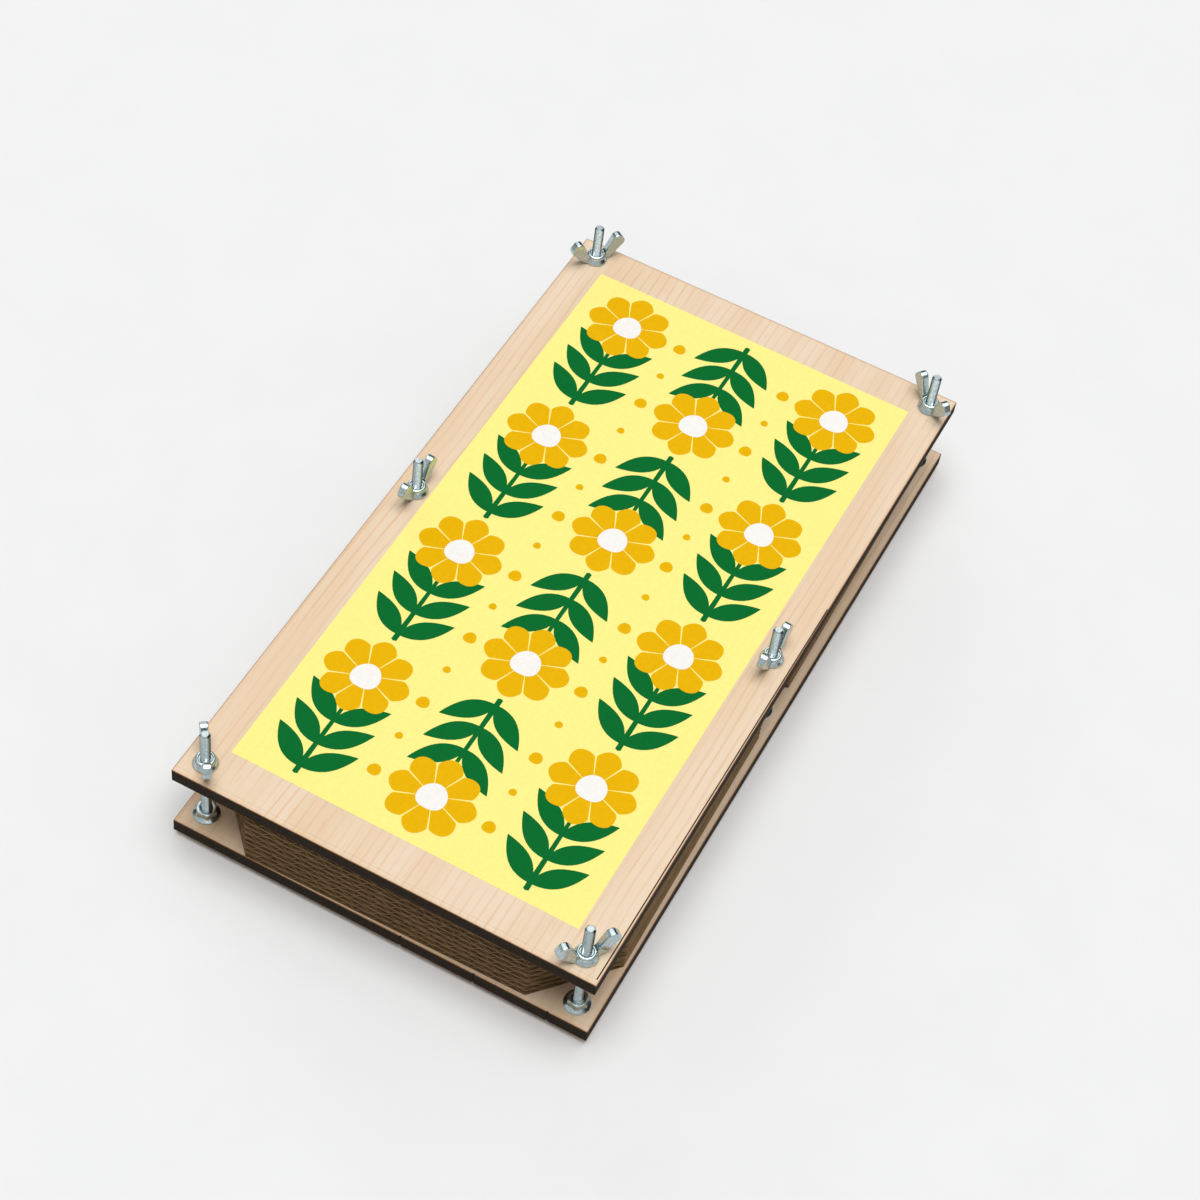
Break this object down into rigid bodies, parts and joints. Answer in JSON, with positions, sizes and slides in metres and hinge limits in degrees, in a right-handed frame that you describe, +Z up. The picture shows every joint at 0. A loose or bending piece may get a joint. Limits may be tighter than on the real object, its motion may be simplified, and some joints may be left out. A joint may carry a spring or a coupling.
{
  "type": "flower press",
  "caption": "Flower press: two plywood boards squeeze a stack of corrugated cards and blotting papers, drawn together by bolts with wing nuts.",
  "frame": {"origin": "middle of the footprint, on the plane that the six bolt heads stand on", "axes": "+Z up along the bolts, +Y along the boards' length, +X across them"},
  "size_m": [0.1688, 0.3137, 0.0578],
  "materials": {
    "plywood": "pale raw plywood with laser-charred edges, a pale yellow printed panel on the top board",
    "corrugated_card": "brown corrugated card, the cut flutes showing on the short sides",
    "blotting_paper": "soft unsized paper, off-white",
    "zinc": "bright zinc plate with a faint blue-green tint"
  },
  "bodies": {
    "base": {"bottom_board": "plywood", "bolt_front_left": "zinc", "bolt_front_right": "zinc", "bolt_middle_left": "zinc", "bolt_middle_right": "zinc", "bolt_back_left": "zinc", "bolt_back_right": "zinc", "flange_nut_front_left": "zinc", "flange_nut_front_right": "zinc", "flange_nut_middle_left": "zinc", "flange_nut_middle_right": "zinc", "flange_nut_back_left": "zinc", "flange_nut_back_right": "zinc"},
    "leaf_1": {"card_1": "corrugated_card", "blotting_paper_1": "blotting_paper"},
    "leaf_2": {"blotting_paper_2": "blotting_paper", "card_2": "corrugated_card", "blotting_paper_3": "blotting_paper"},
    "leaf_3": {"blotting_paper_4": "blotting_paper", "card_3": "corrugated_card", "blotting_paper_5": "blotting_paper"},
    "leaf_4": {"blotting_paper_6": "blotting_paper", "card_4": "corrugated_card", "blotting_paper_7": "blotting_paper"},
    "leaf_5": {"blotting_paper_8": "blotting_paper", "card_5": "corrugated_card", "blotting_paper_9": "blotting_paper"},
    "leaf_6": {"blotting_paper_10": "blotting_paper", "card_6": "corrugated_card", "blotting_paper_11": "blotting_paper"},
    "leaf_7": {"blotting_paper_12": "blotting_paper", "card_7": "corrugated_card", "blotting_paper_13": "blotting_paper"},
    "leaf_8": {"blotting_paper_14": "blotting_paper", "card_8": "corrugated_card"},
    "press_plate": {"top_board": "plywood"},
    "nut_front_left": {"wing_nut_front_left": "zinc"},
    "nut_front_right": {"wing_nut_front_right": "zinc"},
    "nut_middle_left": {"wing_nut_middle_left": "zinc"},
    "nut_middle_right": {"wing_nut_middle_right": "zinc"},
    "nut_back_left": {"wing_nut_back_left": "zinc"},
    "nut_back_right": {"wing_nut_back_right": "zinc"}
  },
  "joints": [
    {"name": "leaf_1_lift", "type": "slide", "parent": "base", "child": "leaf_1", "axis": [0, 0, 1], "range_m": [0, 0.0133]},
    {"name": "leaf_2_lift", "type": "slide", "parent": "leaf_1", "child": "leaf_2", "axis": [0, 0, 1], "range_m": [0, 0.0133]},
    {"name": "leaf_3_lift", "type": "slide", "parent": "leaf_2", "child": "leaf_3", "axis": [0, 0, 1], "range_m": [0, 0.0133]},
    {"name": "leaf_4_lift", "type": "slide", "parent": "leaf_3", "child": "leaf_4", "axis": [0, 0, 1], "range_m": [0, 0.0133]},
    {"name": "leaf_5_lift", "type": "slide", "parent": "leaf_4", "child": "leaf_5", "axis": [0, 0, 1], "range_m": [0, 0.0133]},
    {"name": "leaf_6_lift", "type": "slide", "parent": "leaf_5", "child": "leaf_6", "axis": [0, 0, 1], "range_m": [0, 0.0133]},
    {"name": "leaf_7_lift", "type": "slide", "parent": "leaf_6", "child": "leaf_7", "axis": [0, 0, 1], "range_m": [0, 0.0133]},
    {"name": "leaf_8_lift", "type": "slide", "parent": "leaf_7", "child": "leaf_8", "axis": [0, 0, 1], "range_m": [0, 0.0133]},
    {"name": "press_plate_lift", "type": "slide", "parent": "leaf_8", "child": "press_plate", "axis": [0, 0, 1], "range_m": [0, 0.0133]},
    {"name": "wing_nut_front_left_turn", "type": "hinge", "parent": "press_plate", "child": "nut_front_left", "pos_m": [-0.075, -0.1465, 0.04005], "axis": [0, 0, 1], "range_deg": [0, 6840]},
    {"name": "wing_nut_front_right_turn", "type": "hinge", "parent": "press_plate", "child": "nut_front_right", "pos_m": [0.075, -0.1465, 0.04005], "axis": [0, 0, 1], "range_deg": [0, 6840]},
    {"name": "wing_nut_middle_left_turn", "type": "hinge", "parent": "press_plate", "child": "nut_middle_left", "pos_m": [-0.075, 0, 0.04005], "axis": [0, 0, 1], "range_deg": [0, 6840]},
    {"name": "wing_nut_middle_right_turn", "type": "hinge", "parent": "press_plate", "child": "nut_middle_right", "pos_m": [0.075, 0, 0.04005], "axis": [0, 0, 1], "range_deg": [0, 6840]},
    {"name": "wing_nut_back_left_turn", "type": "hinge", "parent": "press_plate", "child": "nut_back_left", "pos_m": [-0.075, 0.1465, 0.04005], "axis": [0, 0, 1], "range_deg": [0, 6840]},
    {"name": "wing_nut_back_right_turn", "type": "hinge", "parent": "press_plate", "child": "nut_back_right", "pos_m": [0.075, 0.1465, 0.04005], "axis": [0, 0, 1], "range_deg": [0, 6840]}
  ],
  "couplings": [
    {"joint": "wing_nut_front_left_turn", "follows": "press_plate_lift", "rad_per_m": 8976},
    {"joint": "wing_nut_front_right_turn", "follows": "press_plate_lift", "rad_per_m": 8976},
    {"joint": "wing_nut_middle_left_turn", "follows": "press_plate_lift", "rad_per_m": 8976},
    {"joint": "wing_nut_middle_right_turn", "follows": "press_plate_lift", "rad_per_m": 8976},
    {"joint": "wing_nut_back_left_turn", "follows": "press_plate_lift", "rad_per_m": 8976},
    {"joint": "wing_nut_back_right_turn", "follows": "press_plate_lift", "rad_per_m": 8976}
  ]
}
